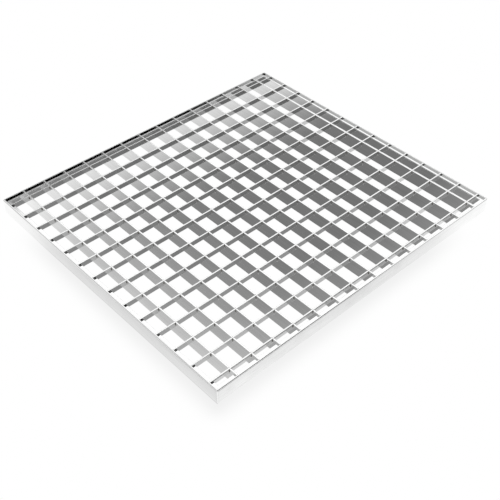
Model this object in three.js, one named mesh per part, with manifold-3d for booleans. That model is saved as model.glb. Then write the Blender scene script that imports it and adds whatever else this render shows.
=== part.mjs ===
// Floor drain grate: a press-locked mesh of steel strips inside a welded edge frame.
//
// X runs across the bearing bars, Y along them and Z up. The origin is at the
// centre of the footprint, on the plane that the grate stands on. Millimetres.
//
// Bearing bars stand on edge and carry the load. Each has a row of slots cut in its
// top, and the shallow cross bars are pressed down into those slots until every top
// is flush. Four edge bars close the mesh. Each edge bar is a thin wall with a narrow
// ledge just below its top, and the ledge enters a notch in the end of every bar.

import * as THREE from 'three';
import { mergeVertices } from 'three/addons/utils/BufferGeometryUtils.js';
import Module from 'manifold-3d';

const wasm = await Module();
wasm.setup();

// Overall sizes
const overall_width = 493.1;
const overall_depth = 448.7;
const overall_height = 21.5;

// Bearing bars
const bearing_bar_count = 14;
const bearing_bar_height = 20.8;
const bearing_bar_thickness = 2;
const left_margin = 31.7; // outer face of the frame to the centre of the first bearing bar
const right_margin = 28.1; // centre of the last bearing bar to the outer face of the frame

// Cross bars
const cross_bar_count = 14;
const cross_bar_height = 7.7;
const cross_bar_thickness = 2;
const front_margin = 15.5; // outer face of the frame to the centre of the first cross bar
const rear_margin = 17.7; // centre of the last cross bar to the outer face of the frame

// Edge bars
const wall_thickness = 2.4;
const ledge_width = 5;
const ledge_drop = 2.5; // from the top of the wall down to the top of the ledge
const ledge_thickness = 2;
const top_edge_radius = 1.7;
const corner_radius = 2;

// Fits
const clearance = 0.3;

// Fineness of the rounded edges
const edge_segments = 6;
const corner_segments = 5;

// Heights that several pieces share
const ledge_top = overall_height - ledge_drop;
const ledge_underside = ledge_top - ledge_thickness;
const notch_top = ledge_top + clearance;
const notch_floor = ledge_underside - clearance;
const notch_reach = ledge_width; // a notch is as deep as the ledge, because both ends keep the clearance

// How far from the outer face of the frame a bar's end stands
const end_inset = wall_thickness + clearance;

function steel(colour, roughness) {
  return new THREE.MeshStandardMaterial({ color: colour, roughness, metalness: 1 });
}

// Centres of a row of bars that starts and ends at its own margins
function row_centres(count, span, first_margin, last_margin) {
  const pitch = (span - first_margin - last_margin) / (count - 1);
  const first = -span / 2 + first_margin;
  return Array.from({ length: count }, (_, index) => first + index * pitch);
}

const bearing_centres = row_centres(bearing_bar_count, overall_width, left_margin, right_margin);
const cross_centres = row_centres(cross_bar_count, overall_depth, front_margin, rear_margin);

function number_name(prefix, index) {
  return `${prefix}_${String(index + 1).padStart(2, '0')}`;
}

function shape_of(points) {
  return new THREE.Shape(points.map(([along, up]) => new THREE.Vector2(along, up)));
}

function extrude(shape, depth) {
  return new THREE.ExtrudeGeometry(shape, { depth, bevelEnabled: false, steps: 1 });
}

// Side view of a bar: along its length and up, with a notch for the ledge in each end
// and one slot in the top for every bar that is pressed into it.
function bar_outline(span, underside, slot_centres, slot_width, slot_floor) {
  const end = span / 2 - end_inset;
  const notch_end = end - notch_reach;
  const points = [[-end, underside], [end, underside]];
  points.push([end, notch_floor], [notch_end, notch_floor]);
  points.push([notch_end, notch_top], [end, notch_top]);
  points.push([end, overall_height]);
  for (const centre of [...slot_centres].reverse()) {
    const near = centre + slot_width / 2;
    const far = centre - slot_width / 2;
    points.push([near, overall_height], [near, slot_floor]);
    points.push([far, slot_floor], [far, overall_height]);
  }
  points.push([-end, overall_height], [-end, notch_top]);
  points.push([-notch_end, notch_top], [-notch_end, notch_floor]);
  points.push([-end, notch_floor]);
  return shape_of(points);
}

// Bearing bars: full height, slotted from the top, drawn in Y and Z
function bearing_bars() {
  const underside = overall_height - bearing_bar_height;
  const slot_width = cross_bar_thickness + 2 * clearance;
  const slot_floor = overall_height - cross_bar_height - clearance;
  const outline = bar_outline(overall_depth, underside, cross_centres, slot_width, slot_floor);
  const group = new THREE.Group();
  bearing_centres.forEach((centre, index) => {
    const geometry = extrude(outline, bearing_bar_thickness);
    geometry.translate(0, 0, -bearing_bar_thickness / 2);
    geometry.rotateX(Math.PI / 2);
    geometry.rotateZ(Math.PI / 2);
    const bar = new THREE.Mesh(geometry, steel(0xc9cccd, 0.14));
    bar.name = number_name('bearing_bar', index);
    bar.position.x = centre;
    group.add(bar);
  });
  return group;
}

// Cross bars: shallow strips that lie in the slots, drawn in X and Z
function cross_bars() {
  const underside = overall_height - cross_bar_height;
  const outline = bar_outline(overall_width, underside, [], 0, 0);
  const group = new THREE.Group();
  cross_centres.forEach((centre, index) => {
    const geometry = extrude(outline, cross_bar_thickness);
    geometry.translate(0, 0, -cross_bar_thickness / 2);
    geometry.rotateX(Math.PI / 2);
    const bar = new THREE.Mesh(geometry, steel(0xd2d5d6, 0.12));
    bar.name = number_name('cross_bar', index);
    bar.position.y = centre;
    group.add(bar);
  });
  return group;
}

// Section of an edge bar: inward from the outer face, and up. The outer top edge is rounded.
function edge_section() {
  const inner = wall_thickness;
  const nose = wall_thickness + ledge_width;
  const points = [[0, 0], [inner, 0], [inner, ledge_underside], [nose, ledge_underside]];
  points.push([nose, ledge_top], [inner, ledge_top], [inner, overall_height]);
  for (let step = 0; step <= edge_segments; step += 1) {
    const angle = Math.PI / 2 * (1 + step / edge_segments);
    const inward = top_edge_radius * (1 + Math.cos(angle));
    const up = overall_height - top_edge_radius * (1 - Math.sin(angle));
    points.push([inward, up]);
  }
  return shape_of(points);
}

function to_solid(geometry) {
  const bare = geometry.clone();
  bare.deleteAttribute('normal');
  bare.deleteAttribute('uv');
  const merged = mergeVertices(bare, 1e-4);
  const vertProperties = new Float32Array(merged.attributes.position.array);
  const triVerts = new Uint32Array(merged.index.array);
  return new wasm.Manifold(new wasm.Mesh({ numProp: 3, vertProperties, triVerts }));
}

function to_geometry(solid) {
  const mesh = solid.getMesh();
  const geometry = new THREE.BufferGeometry();
  geometry.setAttribute('position', new THREE.BufferAttribute(mesh.vertProperties, 3));
  geometry.setIndex(new THREE.BufferAttribute(mesh.triVerts, 1));
  geometry.computeVertexNormals();
  return geometry;
}

// What is taken off the square outer corner of an edge bar at its start: everything
// outside an upright quarter round. The bar runs along X and its outer face is at Y = 0.
function corner_cutter() {
  const beyond = 1;
  const radius = corner_radius;
  const shape = new THREE.Shape();
  shape.moveTo(-beyond, -beyond);
  shape.lineTo(radius, -beyond);
  shape.lineTo(radius, 0);
  for (let step = 1; step <= corner_segments; step += 1) {
    const angle = -Math.PI / 2 * (1 + step / corner_segments);
    shape.lineTo(radius * (1 + Math.cos(angle)), radius * (1 + Math.sin(angle)));
  }
  shape.lineTo(-beyond, radius);
  const cutter = extrude(shape, overall_height + 2 * beyond);
  cutter.translate(0, 0, -beyond);
  return cutter;
}

// One edge bar with mitred ends, centred on X, its outer face at Y = 0 and inside towards +Y
function edge_bar_geometry(length) {
  const geometry = extrude(edge_section(), length);
  const mitre_gap = clearance / 2 * Math.SQRT2;
  const position = geometry.attributes.position;
  for (let index = 0; index < position.count; index += 1) {
    const inward = position.getX(index);
    const up = position.getY(index);
    const at_start = position.getZ(index) < length / 2;
    const cut = inward + mitre_gap;
    position.setXYZ(index, at_start ? cut - length / 2 : length / 2 - cut, inward, up);
  }
  const start_cutter = corner_cutter();
  start_cutter.translate(-length / 2, 0, 0);
  const start = to_solid(start_cutter);
  const end = start.mirror([1, 0, 0]);
  return to_geometry(to_solid(geometry).subtract(start).subtract(end));
}

function edge_bars() {
  const half_width = overall_width / 2;
  const half_depth = overall_depth / 2;
  const places = [
    ['edge_bar_front', overall_width, 0, -half_depth, 0],
    ['edge_bar_right', overall_depth, half_width, 0, Math.PI / 2],
    ['edge_bar_rear', overall_width, 0, half_depth, Math.PI],
    ['edge_bar_left', overall_depth, -half_width, 0, -Math.PI / 2],
  ];
  const group = new THREE.Group();
  for (const [name, length, x, y, turn] of places) {
    const bar = new THREE.Mesh(edge_bar_geometry(length), steel(0xdcdedf, 0.1));
    bar.name = name;
    bar.position.set(x, y, 0);
    bar.rotation.z = turn;
    group.add(bar);
  }
  return group;
}

const grate = new THREE.Group();
grate.add(edge_bars(), bearing_bars(), cross_bars());

export default grate;
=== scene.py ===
# Floor drain grate: polished steel strips pressed into a mesh inside a mitred edge frame.
#
# Every bar of the CAD frame is replaced by its finished form, with worked edges and tight
# press fits, in drawn and polished steel. Small welds are added where the bars end and
# cross; the ones where the bars cross are dark, painting the shade beneath each crossing.
# Metres, Z up.

import math
import random

import bmesh
import bpy
from bpy.props import FloatProperty, FloatVectorProperty, IntProperty, PointerProperty
from mathutils import Matrix, Quaternion, Vector


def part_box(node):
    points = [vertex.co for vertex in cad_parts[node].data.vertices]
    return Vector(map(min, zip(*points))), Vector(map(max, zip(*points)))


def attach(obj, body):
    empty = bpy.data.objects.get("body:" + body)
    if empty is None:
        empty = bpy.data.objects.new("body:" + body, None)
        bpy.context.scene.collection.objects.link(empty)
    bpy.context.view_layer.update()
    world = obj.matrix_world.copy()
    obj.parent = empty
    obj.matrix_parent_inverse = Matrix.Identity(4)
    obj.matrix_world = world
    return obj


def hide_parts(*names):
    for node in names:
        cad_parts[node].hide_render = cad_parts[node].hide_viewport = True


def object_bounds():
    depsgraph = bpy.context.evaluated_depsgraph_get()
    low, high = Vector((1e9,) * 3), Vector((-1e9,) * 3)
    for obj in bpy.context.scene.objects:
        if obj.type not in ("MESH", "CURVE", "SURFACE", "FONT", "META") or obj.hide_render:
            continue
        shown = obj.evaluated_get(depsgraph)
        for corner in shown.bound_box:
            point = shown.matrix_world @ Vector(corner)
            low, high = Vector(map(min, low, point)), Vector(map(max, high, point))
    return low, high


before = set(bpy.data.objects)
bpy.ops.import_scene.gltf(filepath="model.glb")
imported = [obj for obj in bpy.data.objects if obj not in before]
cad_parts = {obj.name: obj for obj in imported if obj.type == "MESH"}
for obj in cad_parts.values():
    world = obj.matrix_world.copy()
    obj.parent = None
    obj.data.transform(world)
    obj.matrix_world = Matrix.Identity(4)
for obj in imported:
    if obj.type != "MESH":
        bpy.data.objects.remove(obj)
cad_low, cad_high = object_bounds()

bl_info = {
    "name": "Floor drain grate",
    "version": (1, 0, 0),
    "blender": (4, 5, 0),
    "location": "3D View > Sidebar > Drain grate",
    "description": "Builds the finished bars, welds and studio of a pressed steel floor grate",
    "category": "Add Mesh",
}

MM = 0.001

# Names that the CAD frame gives its pieces
BEARING_BARS = sorted(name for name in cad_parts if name.startswith("bearing_bar"))
CROSS_BARS = sorted(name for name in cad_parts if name.startswith("cross_bar"))

# Each side of the frame, and the turn that brings its bar there from the front
SIDES = {"front": 0.0, "right": math.pi / 2, "rear": math.pi, "left": -math.pi / 2}


# Sizes that a user would change


def length_of(name, description, default):
    """A length in metres, shown in the scene's own unit."""
    return FloatProperty(
        name=name, description=description, default=default, min=0.0, precision=5,
        subtype="DISTANCE", unit="LENGTH",
    )


def share_of(name, description, default, highest=1.0):
    """A plain number from nothing up to the highest."""
    return FloatProperty(
        name=name, description=description, default=default, min=0.0, max=highest, precision=3
    )


def colour_of(name, description, default):
    """A colour without alpha."""
    return FloatVectorProperty(
        name=name, description=description, default=default, size=3, min=0.0, max=1.0, subtype="COLOR"
    )


def edge_bar_depth():
    """How far an edge bar reaches inward, from the outer face to the ledge's nose."""
    low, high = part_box("edge_bar_front")
    return high.y - low.y


class GrateSizes(bpy.types.PropertyGroup):
    """Sizes of the bars that the CAD frame's boxes don't tell."""

    wall_thickness: length_of("Wall thickness", "Thickness of the edge bars' upright wall", 2.4 * MM)
    ledge_drop: length_of("Ledge drop", "From the top of the wall down to the ledge", 2.5 * MM)
    ledge_thickness: length_of("Ledge thickness", "Thickness of the ledge inside the wall", 2 * MM)
    top_radius: length_of("Top edge radius", "Rounding of the wall's outer top edge", 1.7 * MM)
    corner_radius: length_of("Corner radius", "Rounding of the frame's four upright corners", 2 * MM)
    worked_edge: length_of("Worked edge", "Rounding of an edge bar's other edges", 0.25 * MM)
    bar_edge: length_of("Bar edge", "Rounding of the bearing and cross bars' edges", 0.3 * MM)
    press_gap: length_of("Press gap", "What is left open on each side of a pressed joint", 0.04 * MM)
    seam: length_of("Mitre seam", "Width of the ground seam where two edge bars meet", 0.03 * MM)
    weld_leg: length_of("Weld leg", "Leg of the welds that hold the bearing bars", 1.1 * MM)
    weld_length: length_of("Weld length", "Length of the weld on each side of a bearing bar", 7 * MM)
    weld_lift: length_of("Weld lift", "From the bearing bar's underside up to its weld", 1 * MM)
    ripples: IntProperty(name="Ripples", description="Ripples along one weld", default=7, min=1)
    # The tacks where the bars cross are small welds whose dark colour paints the shade beneath each
    # crossing
    tack_ripples: IntProperty(name="Tack ripples", description="Ripples along one tack", default=2, min=1)
    tack_leg: length_of("Tack leg", "Leg of the small welds where the bars cross", 1.3 * MM)
    tack_length: length_of("Tack length", "Height of the small welds where the bars cross", 5 * MM)


class GrateFinish(bpy.types.PropertyGroup):
    """Colours and roughness of the steel."""

    steel: colour_of("Steel", "Colour of the polished steel", (0.80, 0.802, 0.80))
    # The cross bars' steel is darkened as painted shade; it is the same steel as the bearing bars'
    cross_bar_painted_shade: share_of("Cross bar shade", "Brightness of the cross bars' steel", 0.95)
    weld_steel: colour_of("Weld steel", "Colour of the cleaned weld metal", (0.62, 0.61, 0.59))
    # The tacks are darkened to paint the shade beneath each crossing
    tack_painted_shade: share_of("Tack shade", "Brightness of a tack beside that of a weld", 0.3)
    roughness: share_of("Roughness", "Roughness of the polished steel", 0.06)
    weld_roughness: share_of("Weld roughness", "Roughness of the weld metal", 0.28)
    colour_change: share_of("Colour change", "How much the steel's brightness varies", 0.05)
    roughness_change: share_of("Roughness change", "How much drawn lines and smudges roughen", 0.05)
    line_depth: length_of("Line depth", "Depth of the fine lines left by drawing", 0.002 * MM)


class GrateStudio(bpy.types.PropertyGroup):
    """The floor, the light and the camera."""

    floor_size: length_of("Floor size", "Side of the square floor", 12.0)
    floor_shade: colour_of("Floor", "Colour of the pale floor", (1.0, 1.0, 1.0))
    # The contact shadow is painted into the floor's glow; nothing casts it
    shadow: share_of("Contact shadow", "How much the floor darkens along the frame", 0.12)
    shadow_reach: length_of("Shadow reach", "How far the contact shadow spreads", 40 * MM)
    dome: share_of("Dome", "Brightness of the white dome overhead", 1.35, 10.0)
    low_wall: share_of("Low wall", "Brightness of the grey surroundings below", 0.215, 10.0)
    lens: FloatProperty(name="Lens", description="Focal length", default=62.67, min=1.0, unit="CAMERA")
    camera_place: FloatVectorProperty(
        name="Camera", description="Where the camera stands", size=3, subtype="TRANSLATION",
        unit="LENGTH", default=(-0.62368, -0.68637, 0.77834),
    )
    camera_aim: FloatVectorProperty(
        name="Aim", description="What the camera looks at", size=3, subtype="TRANSLATION",
        unit="LENGTH", default=(-0.05763, -0.07183, 0.01075),
    )
    camera_roll: FloatProperty(
        name="Roll", description="Turn of the camera about its view", default=math.radians(0.065),
        subtype="ANGLE", unit="ROTATION",
    )


# Shader nodes


class Link:
    """A node's output socket. Arithmetic on it adds Math nodes to its tree."""

    def __init__(self, graph, socket):
        self.graph = graph
        self.socket = socket

    def math(self, operation, *others):
        sockets = dict(enumerate([self, *others]))
        return self.graph.node("ShaderNodeMath", {"operation": operation}, sockets)[0]

    def reflected(self, operation, first):
        return self.graph.node("ShaderNodeMath", {"operation": operation}, {0: first, 1: self})[0]

    def __add__(self, other):
        return self.math("ADD", other)

    def __sub__(self, other):
        return self.math("SUBTRACT", other)

    def __mul__(self, other):
        return self.math("MULTIPLY", other)

    def __truediv__(self, other):
        return self.math("DIVIDE", other)

    def __abs__(self):
        return self.math("ABSOLUTE")

    __radd__ = __add__
    __rmul__ = __mul__

    def __rsub__(self, other):
        return self.reflected("SUBTRACT", other)


class Graph:
    """A node tree that is being filled, from empty."""

    def __init__(self, tree):
        self.tree = tree
        tree.nodes.clear()

    def node(self, kind, settings=None, sockets=None):
        """Adds one node with its settings, then each socket's value or link. Gives its outputs."""
        node = self.tree.nodes.new(kind)
        for name, value in (settings or {}).items():
            setattr(node, name, value)
        for key, value in (sockets or {}).items():
            if isinstance(value, Link):
                self.tree.links.new(value.socket, node.inputs[key])
            else:
                node.inputs[key].default_value = value
        return [Link(self, socket) for socket in node.outputs]

    def ramp(self, value, start, end, low=0.0, high=1.0):
        """A smooth step from low at start to high at end."""
        limits = {0: value, 1: start, 2: end, 3: low, 4: high}
        return self.node("ShaderNodeMapRange", {"interpolation_type": "SMOOTHSTEP"}, limits)[0]

    def vector(self, operation, *inputs):
        return self.node("ShaderNodeVectorMath", {"operation": operation}, dict(enumerate(inputs)))

    def noise(self, place, scale, detail=2.0, roughness=0.5):
        sockets = {"Vector": place, "Scale": scale, "Detail": detail, "Roughness": roughness}
        return self.node("ShaderNodeTexNoise", {}, sockets)[0]

    def blend(self, share, first, second):
        """A mix of two colours, which are the Mix node's inputs 6 and 7."""
        sockets = {0: share, 6: first, 7: second}
        return self.node("ShaderNodeMix", {"data_type": "RGBA"}, sockets)[2]


def opaque(colour):
    return (*colour, 1.0)


# Steel finishes

# How far apart two bars' patterns lie, in pattern lengths for each metre between the bars
PATTERN_SHIFT = 7.3

# Marks in a metre of strip
CLOUD_SCALE = 14.0
SMUDGE_SCALE = 45.0
SCRATCH_SCALE = 900.0
MOTTLE_SCALE = 900.0
STAIN_SCALE = 220.0

# How much longer the lines of drawing are than wide
BAR_STRETCH = 30.0
EDGE_STRETCH = 40.0

BAR_LINE_SPACING = 0.35 * MM
EDGE_LINE_SPACING = 0.3 * MM
MOTTLE_DEPTH = 0.02 * MM

# What heat takes from each channel of the weld metal's colour
HEAT_TINT = (0.82, 0.76, 0.66)


def new_material(name):
    material = bpy.data.materials.new(name)
    material.use_nodes = True
    return material, Graph(material.node_tree)


def drawn_coordinates(graph, stretch):
    """A bar's own coordinates, shifted from bar to bar, and the same squeezed along the bar."""
    place = graph.node("ShaderNodeTexCoord")[3]
    where = graph.node("ShaderNodeObjectInfo")[0]
    apart = graph.vector("MULTIPLY", where, (PATTERN_SHIFT,) * 3)[0]
    moved = graph.vector("ADD", place, apart)[0]
    drawn = graph.vector("MULTIPLY", moved, (1 / stretch, 1.0, 1.0))[0]
    return moved, drawn


def polished_steel(name, finish, stretch, line_spacing, polish, shade):
    """Drawn and polished strip: fine lines along its length, soft smudges and a few scratches."""
    material, graph = new_material(name)
    moved, drawn = drawn_coordinates(graph, stretch)
    band_spacing = 5 * line_spacing
    lines = graph.noise(drawn, 1 / line_spacing, 3.0, 0.6)
    bands = graph.noise(drawn, 1 / band_spacing, 1.0, 0.5)
    cloud = graph.noise(moved, CLOUD_SCALE, 3.0, 0.55)
    smudge = graph.ramp(graph.noise(moved, SMUDGE_SCALE, 4.0, 0.6), 0.45, 0.75)
    long_marks = graph.vector("MULTIPLY", moved, (0.06, 1.0, 1.0))[0]
    scratches = graph.ramp(graph.noise(long_marks, SCRATCH_SCALE, 1.0, 0.4), 0.70, 0.76)

    change = finish.colour_change
    varied = (cloud - 0.5) * (2 * change) + (lines - 0.5) * change + (bands - 0.5) * (4 * change)
    # The shade darkens the whole strip; for the cross bars it is painted shade
    tone = (varied + (1.0 - change / 2)) * shade
    tinted = {0: tuple(finish.steel), "Scale": tone}
    colour = graph.node("ShaderNodeVectorMath", {"operation": "SCALE"}, tinted)
    worn = finish.roughness_change
    marks = (lines * 0.6 + smudge * 0.5) * worn + scratches * (worn * 1.5)
    bump = graph.node("ShaderNodeBump", {}, {
        "Strength": 1.0, "Distance": finish.line_depth, "Height": lines + scratches * -0.6,
    })
    surface = graph.node("ShaderNodeBsdfPrincipled", {}, {
        "Base Color": colour[0], "Metallic": 1.0, "Roughness": finish.roughness * polish + marks,
        "Normal": bump[0],
    })
    graph.node("ShaderNodeOutputMaterial", {}, {"Surface": surface[0]})
    return material


def weld_metal(name, finish, shade):
    """Cleaned weld metal, duller than the strip and mottled."""
    material, graph = new_material(name)
    place = graph.node("ShaderNodeTexCoord")[3]
    mottle = graph.noise(place, MOTTLE_SCALE, 4.0, 0.65)
    stain = graph.ramp(graph.noise(place, STAIN_SCALE, 2.0), 0.4, 0.7)
    # The shade darkens the weld metal; for the tacks it is painted shade beneath each crossing
    clean = [channel * shade for channel in finish.weld_steel]
    heated = [channel * left for channel, left in zip(clean, HEAT_TINT)]
    colour = graph.blend(stain * 0.6, opaque(clean), opaque(heated))
    rough = finish.weld_roughness + (mottle - 0.5) * 0.25
    bump = graph.node("ShaderNodeBump", {}, {
        "Strength": 1.0, "Distance": MOTTLE_DEPTH, "Height": mottle,
    })
    surface = graph.node("ShaderNodeBsdfPrincipled", {}, {
        "Base Color": colour, "Metallic": 1.0, "Roughness": rough, "Normal": bump[0],
    })
    graph.node("ShaderNodeOutputMaterial", {}, {"Surface": surface[0]})
    return material


# Shapes


def rounded_outline(corners):
    """A closed outline from (across, up, radius, segments) corners, each rounded by an arc."""
    outline = []
    count = len(corners)
    for index, (across, up, radius, segments) in enumerate(corners):
        corner = Vector((across, up))
        before = (Vector(corners[index - 1][:2]) - corner).normalized()
        after = (Vector(corners[(index + 1) % count][:2]) - corner).normalized()
        if not radius:
            outline.append(corner)
            continue
        half_angle = before.angle(after) / 2
        reach = radius / math.tan(half_angle)
        centre = corner + (before + after).normalized() * (radius / math.sin(half_angle))
        start = corner + before * reach - centre
        turn = start.angle_signed(corner + after * reach - centre)
        for step in range(segments + 1):
            angle = -turn * step / segments
            outline.append(centre + Matrix.Rotation(angle, 2) @ start)
    return outline


def new_piece(name, mesh, material, slot, *nodes):
    """Puts a finished mesh into the scene as a piece of the grate."""
    piece = bpy.data.objects.new(name, mesh)
    bpy.context.scene.collection.objects.link(piece)
    mesh.materials.append(material)
    if nodes:
        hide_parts(*nodes)
    return piece


def place_piece(piece, x, y, turn):
    piece.location = (x, y, 0.0)
    piece.rotation_euler = (0.0, 0.0, turn)
    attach(piece, "root")


def mesh_from(name, shape):
    bmesh.ops.recalc_face_normals(shape, faces=shape.faces)
    for face in shape.faces:
        face.smooth = True
    mesh = bpy.data.meshes.new(name)
    shape.to_mesh(mesh)
    shape.free()
    return mesh


def strip_mesh(name, outline, thickness):
    """A flat strip cut to an outline in X and Z, centred on Y."""
    shape = bmesh.new()
    sides = []
    for across in (-thickness / 2, thickness / 2):
        sides.append([shape.verts.new((along, across, up)) for along, up in outline])
    count = len(outline)
    shape.faces.new(sides[0])
    shape.faces.new(list(reversed(sides[1])))
    for index in range(count):
        following = (index + 1) % count
        corners = (sides[0][index], sides[1][index], sides[1][following], sides[0][following])
        shape.faces.new(corners)
    return mesh_from(name, shape)


def work_edges(piece, width, segments):
    """Breaks the sharp edges of a strip and shades its flats flat."""
    sharpest_kept = math.radians(40)
    bevel = piece.modifiers.new("worked edges", "BEVEL")
    bevel.width = width
    bevel.segments = segments
    bevel.limit_method = "ANGLE"
    bevel.angle_limit = sharpest_kept
    bevel.harden_normals = True


def keep_flats(mesh):
    """Shades roundings smoothly and leaves the flats beside them exactly flat."""
    smooth = math.cos(math.radians(50))
    bias = 4  # the higher, the more a large face outweighs a small one
    around = [[] for _ in mesh.vertices]
    for face in mesh.polygons:
        for vertex in face.vertices:
            around[vertex].append(face)
    normals = []
    for face in mesh.polygons:
        for vertex in face.vertices:
            near = [other for other in around[vertex] if face.normal.dot(other.normal) > smooth]
            widest = max(other.area for other in near)
            total = Vector()
            for other in near:
                total += other.normal * (other.area / widest) ** bias
            normals.append(total.normalized())
    mesh.normals_split_custom_set(normals)


class Notch:
    """The opening in a bar's end that the ledge enters."""

    def __init__(self, sizes, top):
        self.reach = edge_bar_depth() - sizes.wall_thickness
        self.ceiling = top - sizes.ledge_drop + sizes.press_gap
        self.floor = top - sizes.ledge_drop - sizes.ledge_thickness - sizes.press_gap


def bar_outline(half_length, bottom, top, notch, slots, slot_width, slot_floor):
    """Side view of a bar: notched ends, and one slot in the top for each bar pressed into it."""
    inner = half_length - notch.reach
    outline = [(-half_length, bottom), (half_length, bottom), (half_length, notch.floor)]
    outline += [(inner, notch.floor), (inner, notch.ceiling), (half_length, notch.ceiling)]
    outline.append((half_length, top))
    for centre in sorted(slots, reverse=True):
        near, far = centre + slot_width / 2, centre - slot_width / 2
        outline += [(near, top), (near, slot_floor), (far, slot_floor), (far, top)]
    outline += [(-half_length, top), (-half_length, notch.ceiling), (-inner, notch.ceiling)]
    outline += [(-inner, notch.floor), (-half_length, notch.floor)]
    return outline


def edge_section(sizes, top, depth):
    """Section of an edge bar, inward from the outer face and up: a wall and its ledge."""
    wall = sizes.wall_thickness
    ledge_top = top - sizes.ledge_drop
    ledge_bottom = ledge_top - sizes.ledge_thickness
    worked = sizes.worked_edge
    return rounded_outline([
        (0.0, 0.0, worked, 2),
        (wall, 0.0, worked, 2),
        (wall, ledge_bottom, worked, 2),
        (depth, ledge_bottom, worked, 2),
        (depth, ledge_top, worked, 2),
        (wall, ledge_top, 0.0, 0),
        (wall, top, worked, 2),
        (0.0, top, sizes.top_radius, 8),
    ])


def corner_stations(inward, radius, steps):
    """Points (along, inward) from the square corner, on a line of the section that rounds half of it."""
    if inward >= radius:
        return [(inward, inward)] * (steps + 1)
    swing = radius - inward
    angles = [math.pi / 4 * step / steps for step in range(steps + 1)]
    return [(radius - swing * math.sin(angle), radius - swing * math.cos(angle)) for angle in angles]


def edge_bar_mesh(name, section, length, sizes):
    """An edge bar along X with its outer face at Y = 0. Each end takes half of a rounded corner."""
    steps = 5
    merge = 0.001 * MM
    half = length / 2 - sizes.seam / 2 * math.sqrt(2)
    stations = []
    for inward, up in section:
        turning = corner_stations(inward, sizes.corner_radius, steps)
        near = [(half - along, across, up) for along, across in turning]
        far = [(-x, y, z) for x, y, z in near]
        stations.append(list(reversed(far)) + near)
    shape = bmesh.new()
    rows = [[shape.verts.new(point) for point in row] for row in zip(*stations)]
    count = len(section)
    for first, second in zip(rows, rows[1:]):
        for index in range(count):
            following = (index + 1) % count
            shape.faces.new((first[index], first[following], second[following], second[index]))
    shape.faces.new(rows[0])
    shape.faces.new(list(reversed(rows[-1])))
    bmesh.ops.remove_doubles(shape, verts=shape.verts, dist=merge)
    bmesh.ops.dissolve_degenerate(shape, edges=shape.edges, dist=merge)
    return mesh_from(name, shape)


def add_weld(shape, foot, first_leg, second_leg, rise, leg, ripples, chance):
    """One fillet weld that climbs from its foot in the corner between two faces."""
    around = 5
    rings = ripples * 4
    buried = leg * 0.15
    thinnest = 0.05
    bluntness = 6  # the higher, the later an end tapers
    ripple_depth = 0.14
    hollow = 0.26  # how far the weld's face dips between its two legs
    spine = foot - (first_leg + second_leg) * buried
    previous = None
    shift = chance.uniform(0.0, 1.0)
    for ring in range(rings + 1):
        share = ring / rings
        taper = max(thinnest, math.sqrt(max(0.0, 1.0 - (2 * share - 1) ** bluntness)))
        wave = abs(math.sin(math.pi * (share * ripples + shift)))
        rippled = 1.0 - ripple_depth + ripple_depth * wave
        size = (leg + buried) * taper * rippled * chance.uniform(0.97, 1.03)
        centre = spine + Vector((0.0, 0.0, rise * share))
        points = [centre]
        for step in range(around + 1):
            angle = math.pi / 2 * step / around
            outward = first_leg * math.cos(angle) + second_leg * math.sin(angle)
            swell = 1.0 - hollow + hollow * math.cos(2 * angle) ** 2
            points.append(centre + outward * size * swell)
        current = [shape.verts.new(point) for point in points]
        if previous:
            for index in range(len(current)):
                following = (index + 1) % len(current)
                low_edge = (previous[index], previous[following])
                high_edge = (current[following], current[index])
                shape.faces.new((*low_edge, *high_edge))
        else:
            shape.faces.new(current)
        previous = current
    shape.faces.new(list(reversed(previous)))


# Operators, one for each group of like pieces


def bar_places(names, axis):
    """(name, centre along the axis, thickness, bottom, top) of each bar in a row."""
    places = []
    for name in names:
        low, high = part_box(name)
        places.append((name, (low[axis] + high[axis]) / 2, high[axis] - low[axis], low.z, high.z))
    return places


def build_row(names, axis, half_span, slots, material, slot, turn):
    """Makes one row of parallel bars that stand side by side along the axis.

    The slots are their centres along a bar, their width and the height of their floor.
    """
    sizes = bpy.context.scene.grate_sizes
    half_length = half_span - sizes.wall_thickness - sizes.press_gap
    for name, centre, thickness, bottom, top in bar_places(names, axis):
        outline = bar_outline(half_length, bottom, top, Notch(sizes, top), *slots)
        mesh = strip_mesh(f"finished_{name}", outline, thickness)
        piece = new_piece(f"finished_{name}", mesh, material, slot, name)
        work_edges(piece, sizes.bar_edge, 2)
        x, y = (centre, 0.0) if axis == 0 else (0.0, centre)
        place_piece(piece, x, y, turn)


class GRATE_OT_bearing_bars(bpy.types.Operator):
    """Make the slotted full-height bars that carry the load"""

    bl_idname = "grate.bearing_bars"
    bl_label = "Bearing bars"

    def execute(self, context):
        sizes, finish = context.scene.grate_sizes, context.scene.grate_finish
        crossings = bar_places(CROSS_BARS, 1)
        _, _, thickness, bottom, _ = crossings[0]
        centres = [centre for _, centre, *_ in crossings]
        slots = (centres, thickness + 2 * sizes.press_gap, bottom - sizes.press_gap)
        name = "drawn bearing strip"
        material = polished_steel(name, finish, BAR_STRETCH, BAR_LINE_SPACING, 1.0, 1.0)
        build_row(BEARING_BARS, 0, cad_high.y, slots, material, "bearing_bar_steel", math.pi / 2)
        return {"FINISHED"}


class GRATE_OT_cross_bars(bpy.types.Operator):
    """Make the shallow bars that are pressed into the slots"""

    bl_idname = "grate.cross_bars"
    bl_label = "Cross bars"

    def execute(self, context):
        finish = context.scene.grate_finish
        # A painted shade darkens the cross bars' copy of the steel
        shade = finish.cross_bar_painted_shade
        no_slots = ([], 0.0, 0.0)
        name = "drawn cross strip with painted shade"
        material = polished_steel(name, finish, BAR_STRETCH, BAR_LINE_SPACING, 1.0, shade)
        build_row(CROSS_BARS, 1, cad_high.x, no_slots, material, "cross_bar_steel", 0.0)
        return {"FINISHED"}


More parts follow.
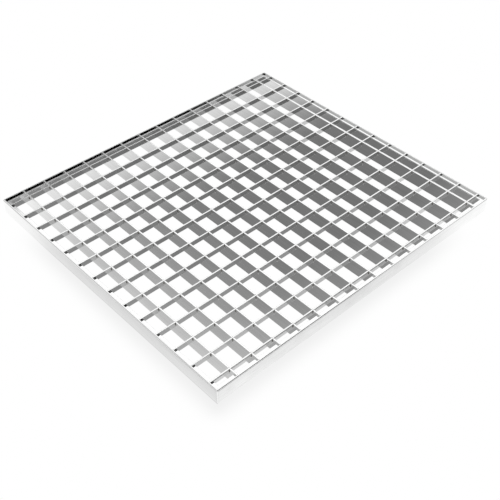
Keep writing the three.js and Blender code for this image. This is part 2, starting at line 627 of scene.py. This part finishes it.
class GRATE_OT_edge_bars(bpy.types.Operator):
    """Make the four mitred edge bars with their ledges and rounded corners"""

    bl_idname = "grate.edge_bars"
    bl_label = "Edge bars"

    def execute(self, context):
        sizes, finish = context.scene.grate_sizes, context.scene.grate_finish
        name = "polished edge steel"
        material = polished_steel(name, finish, EDGE_STRETCH, EDGE_LINE_SPACING, 0.8, 1.0)
        section = edge_section(sizes, cad_high.z, edge_bar_depth())
        for side, turn in SIDES.items():
            outward = Matrix.Rotation(turn, 2) @ Vector((0.0, -1.0))
            across = side in ("front", "rear")
            length = 2 * (cad_high.x if across else cad_high.y)
            reach = cad_high.y if across else cad_high.x
            name = f"finished_edge_bar_{side}"
            mesh = edge_bar_mesh(name, section, length, sizes)
            keep_flats(mesh)
            piece = new_piece(name, mesh, material, "edge_bar_steel", f"edge_bar_{side}")
            place_piece(piece, outward.x * reach, outward.y * reach, turn)
        return {"FINISHED"}


class GRATE_OT_welds(bpy.types.Operator):
    """Make the fillet welds at the ends of the bearing bars and the dark tacks where the bars cross,
    whose darkness is painted shade
    """

    bl_idname = "grate.welds"
    bl_label = "Welds"

    def execute(self, context):
        sizes, finish = context.scene.grate_sizes, context.scene.grate_finish
        material = weld_metal("cleaned weld", finish, 1.0)
        chance = random.Random(7)
        wall = sizes.wall_thickness
        bearing, crossing = bar_places(BEARING_BARS, 0), bar_places(CROSS_BARS, 1)
        for side, sense in (("front", -1), ("rear", 1)):
            shape = bmesh.new()
            inner = sense * (cad_high.y - wall)
            for _, centre, thickness, bottom, _ in bearing:
                for hand in (-1, 1):
                    foot = Vector((centre + hand * thickness / 2, inner, bottom + sizes.weld_lift))
                    beside, away = Vector((hand, 0.0, 0.0)), Vector((0.0, -sense, 0.0))
                    rise = sizes.weld_length * chance.uniform(0.9, 1.08)
                    add_weld(shape, foot, beside, away, rise, sizes.weld_leg, sizes.ripples, chance)
            self.finish(f"bearing_bar_welds_{side}", shape, material)
        leg, rise, ripples = sizes.tack_leg, sizes.tack_length, sizes.tack_ripples
        shape = bmesh.new()
        for _, x, wide, _, top in bearing:
            foot_height = top - sizes.bar_edge - rise
            for _, y, deep, _, _ in crossing:
                for hand in (-1, 1):
                    foot = Vector((x + hand * wide / 2, y + hand * deep / 2, foot_height))
                    beside, away = Vector((hand, 0.0, 0.0)), Vector((0.0, hand, 0.0))
                    add_weld(shape, foot, beside, away, rise, leg, ripples, chance)
        # The tacks' metal is darkened to paint the shade beneath each crossing
        self.finish("crossing_tacks", shape, weld_metal("crossing tack painted shade", finish, finish.tack_painted_shade))
        return {"FINISHED"}

    def finish(self, name, shape, material):
        piece = new_piece(name, mesh_from(name, shape), material, "edge_bar_steel")
        place_piece(piece, 0.0, 0.0, 0.0)


# Studio


def floor_material(studio):
    """A bright even floor, with a faint shadow painted into its glow where the frame's left and front
    sides meet it.
    """
    material, graph = new_material("pale floor")
    place = graph.node("ShaderNodeTexCoord")[3]
    half = (cad_high.x, cad_high.y, 0.0)
    beyond = graph.vector("SUBTRACT", graph.vector("ABSOLUTE", place)[0], half)[0]
    outside = graph.vector("MAXIMUM", beyond, (0.0, 0.0, 0.0))[0]
    distance = graph.vector("LENGTH", outside)[1]
    # A painted soft shadow, strongest at the frame and fading outward, drawn into the floor's glow rather
    # than cast
    fade = graph.ramp(distance, 0.0, studio.shadow_reach, 1.0, 0.0)
    is_outside = distance.math("GREATER_THAN", 0.01 * MM)
    soft = fade * fade * is_outside * studio.shadow

    # A thin painted shadow line where the left and right sides stand on the floor
    beyond_x, beyond_y, _ = graph.node("ShaderNodeSeparateXYZ", {}, {0: beyond})
    beside_frame = graph.ramp(beyond_y, 0.0, 0.5 * MM, 1.0, 0.0)
    line = graph.ramp(abs(beyond_x), 0.3 * MM, 1.0 * MM, 0.25, 0.0) * beside_frame

    # Towards the right and the rear, the painted shadow and line fade out
    across, along, _ = graph.node("ShaderNodeSeparateXYZ", {}, {0: place})
    not_right = graph.ramp(across, cad_high.x * 0.4, cad_high.x * 0.85, 1.0, 0.0)
    not_rear = graph.ramp(along, cad_high.y * 0.4, cad_high.y * 0.85, 1.0, 0.0)
    # The floor's glow, less the painted shadow and line
    light = 1.0 - (soft + line) * not_right * not_rear
    colour = opaque(studio.floor_shade)
    glow = graph.node("ShaderNodeEmission", {}, {"Color": colour, "Strength": light})
    graph.node("ShaderNodeOutputMaterial", {}, {"Surface": glow[0]})
    return material


def left_by(shares):
    """What is left when each share in turn takes its part of the rest."""
    rest = 1.0
    for share in shares:
        rest = rest * (1.0 - share)
    return rest


def light_below(graph, across, along, low_wall):
    """A lit table near the grate, grey further out, and bright walls to the right and behind."""
    to_left = graph.ramp(across, -0.3, 0.2, 1.0, 0.0)
    to_front = graph.ramp(along, -0.3, 0.2, 1.0, 0.0)
    left_glow = (0.41 * ((across + 0.536) / 0.09).math("EXPONENT")).math("MINIMUM", 0.8)
    left_rim = graph.ramp(across, -0.515, -0.5) * graph.ramp(along, 1.02, 1.12, 0.0, 0.6)
    front_glow = (0.43 * ((along + 0.665) / 0.085).math("EXPONENT")).math("MINIMUM", 0.43)
    front_glow = front_glow * graph.ramp(across, -0.35, 0.3, 0.5, 1.0)
    near_corner = graph.ramp(across, 0.5, 0.8, 0.09, 0.0)
    far_corner = graph.ramp(across, 0.97, 1.07, 0.0, 0.2)
    front_rim = graph.ramp(along, -0.6235, -0.612) * (near_corner + far_corner + 0.38)
    unlit = left_by((
        left_glow * to_left,
        (front_glow + front_rim) * to_front,
        left_rim * to_left,
        graph.ramp(across, 0.85, 1.24, 0.0, 0.85),
        graph.ramp(along, 0.945, 1.28, 0.0, 0.92),
        graph.ramp(abs(along), 0.35, 0.55, 0.75, 0.0),
        graph.ramp(abs(across), 0.3, 0.45, 0.75, 0.0),
        graph.ramp(across, 0.52, 0.64, 0.085, 0.0) * graph.ramp(across, 0.2, 0.4),
        graph.ramp(along, 0.62, 0.72, 0.09, 0.0) * graph.ramp(along, 0.2, 0.4),
    ))
    return 1.0 - unlit + low_wall


def light_above(graph, across, along, dome):
    """The dome, with dark screens in front and behind, grey ones to the sides and one overhead."""
    slanted = across + (along + 1.18) * 0.3
    front_across = graph.ramp(across, -1.6, -1.3) * graph.ramp(slanted, 0.92, 1.3, 1.0, 0.0)
    front_along = graph.ramp(along, -0.3, -0.15, 1.0, 0.0) * graph.ramp(along, -1.8, -1.4)
    rear_across = graph.ramp(across, 0.6, 1.5, 0.76, 0.3) * graph.ramp(across, 0.1, 0.4)
    left = graph.ramp(across, -0.3, -0.05, 1.0, 0.0) * graph.ramp(along, 0.1, 0.5) * 0.5
    from_zenith = (across * across + along * along).math("SQRT")
    unscreened = left_by((
        front_across * front_along,
        graph.ramp(along, 1.14, 1.19) * rear_across,
        left,
        graph.ramp(across, 1.2, 1.4, 0.0, 0.6),
        graph.ramp(from_zenith, 0.3, 0.45, 0.5, 0.0),
    ))
    return dome * unscreened


def studio_light(world, studio):
    """A white dome over grey surroundings, with glows below and screens above.

    A direction is told by how far it goes across and along for each metre up or down, and
    each glow and screen covers a range of these slopes.
    """
    world.use_nodes = True
    graph = Graph(world.node_tree)
    direction = graph.node("ShaderNodeTexCoord")[0]
    x, y, z = graph.node("ShaderNodeSeparateXYZ", {}, {0: direction})
    height = abs(z).math("MAXIMUM", 0.08)
    across, along = x / height, y / height
    below = light_below(graph, across, along, studio.low_wall)
    above = light_above(graph, across, along, studio.dome)
    side = graph.ramp(z, -0.04, 0.04)
    level = below * (1.0 - side) + above * side

    # The camera itself sees plain white
    seen = graph.node("ShaderNodeLightPath")[0]
    strength = level * (1.0 - seen) + seen
    white = {"Color": (1.0, 1.0, 1.0, 1.0), "Strength": strength}
    background = graph.node("ShaderNodeBackground", {}, white)
    graph.node("ShaderNodeOutputWorld", {}, {"Surface": background[0]})


class GRATE_OT_studio(bpy.types.Operator):
    """Make the floor, the soft studio light and the camera"""

    bl_idname = "grate.studio"
    bl_label = "Studio"

    def execute(self, context):
        scene, studio = context.scene, context.scene.grate_studio
        half = studio.floor_size / 2
        corners = [(-half, -half, 0.0), (half, -half, 0.0), (half, half, 0.0), (-half, half, 0.0)]
        mesh = bpy.data.meshes.new("floor")
        mesh.from_pydata(corners, [], [(0, 1, 2, 3)])
        mesh.materials.append(floor_material(studio))
        floor = bpy.data.objects.new("floor", mesh)
        floor.visible_glossy = False
        scene.collection.objects.link(floor)

        scene.world = bpy.data.worlds.new("studio")
        studio_light(scene.world, studio)
        scene.view_settings.view_transform = "Standard"

        camera = bpy.data.objects.new("camera", bpy.data.cameras.new("camera"))
        scene.collection.objects.link(camera)
        view = Vector(studio.camera_aim) - Vector(studio.camera_place)
        camera.data.lens = studio.lens
        camera.rotation_mode = "QUATERNION"
        camera.location = studio.camera_place
        roll = Quaternion((0, 0, 1), studio.camera_roll)
        camera.rotation_quaternion = view.to_track_quat("-Z", "Y") @ roll
        scene.camera = camera
        return {"FINISHED"}


class GRATE_PT_parts(bpy.types.Panel):
    """Lists the groups of pieces and their sizes"""

    bl_label = "Drain grate"
    bl_space_type = "VIEW_3D"
    bl_region_type = "UI"
    bl_category = "Drain grate"

    def draw(self, context):
        layout = self.layout
        for operator in OPERATORS:
            layout.operator(operator.bl_idname)
        for group in (context.scene.grate_sizes, context.scene.grate_finish, context.scene.grate_studio):
            box = layout.box()
            for name in group.bl_rna.properties.keys():
                if name not in ("rna_type", "name"):
                    box.prop(group, name)


GROUPS = {"grate_sizes": GrateSizes, "grate_finish": GrateFinish, "grate_studio": GrateStudio}
OPERATORS = (
    GRATE_OT_edge_bars, GRATE_OT_bearing_bars, GRATE_OT_cross_bars, GRATE_OT_welds, GRATE_OT_studio,
)


def register():
    for group in (*GROUPS.values(), *OPERATORS, GRATE_PT_parts):
        bpy.utils.register_class(group)
    for name, group in GROUPS.items():
        setattr(bpy.types.Scene, name, PointerProperty(type=group))


def unregister():
    for name in GROUPS:
        delattr(bpy.types.Scene, name)
    for group in reversed((*GROUPS.values(), *OPERATORS, GRATE_PT_parts)):
        bpy.utils.unregister_class(group)


def main():
    register()
    bpy.ops.grate.edge_bars()
    bpy.ops.grate.bearing_bars()
    bpy.ops.grate.cross_bars()
    bpy.ops.grate.welds()
    bpy.ops.grate.studio()


if __name__ == "__main__":
    main()
